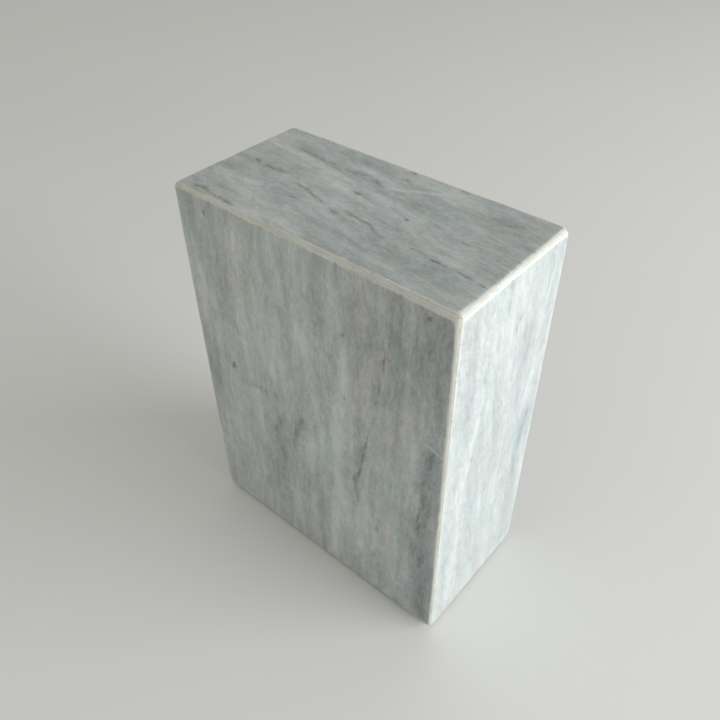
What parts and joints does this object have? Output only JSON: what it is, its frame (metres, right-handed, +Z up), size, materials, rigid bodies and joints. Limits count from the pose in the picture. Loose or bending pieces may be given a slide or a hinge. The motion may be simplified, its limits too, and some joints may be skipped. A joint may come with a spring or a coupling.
{
  "type": "bookend block",
  "caption": "Free-standing block bookend: a hollow upright box of mitred marble panels with eased edges, bonded with adhesive seams, on thin felt pads.",
  "frame": {"origin": "centre of the footprint, on the surface that the block stands on", "axes": "+Z up along the height; +X along the wide side; +Y along the short side, square to the two faces that books lean on"},
  "size_m": [0.15, 0.075, 0.2],
  "materials": {
    "marble": "satin",
    "adhesive": "matte",
    "felt": "matte"
  },
  "bodies": {
    "root": {"front_panel": "marble", "back_panel": "marble", "left_panel": "marble", "right_panel": "marble", "top_panel": "marble", "bottom_panel": "marble", "seam_front_left": "adhesive", "seam_front_right": "adhesive", "seam_front_top": "adhesive", "seam_front_bottom": "adhesive", "seam_back_left": "adhesive", "seam_back_right": "adhesive", "seam_back_top": "adhesive", "seam_back_bottom": "adhesive", "seam_left_top": "adhesive", "seam_left_bottom": "adhesive", "seam_right_top": "adhesive", "seam_right_bottom": "adhesive", "pad_front_left": "felt", "pad_front_right": "felt", "pad_back_left": "felt", "pad_back_right": "felt"}
  },
  "joints": []
}
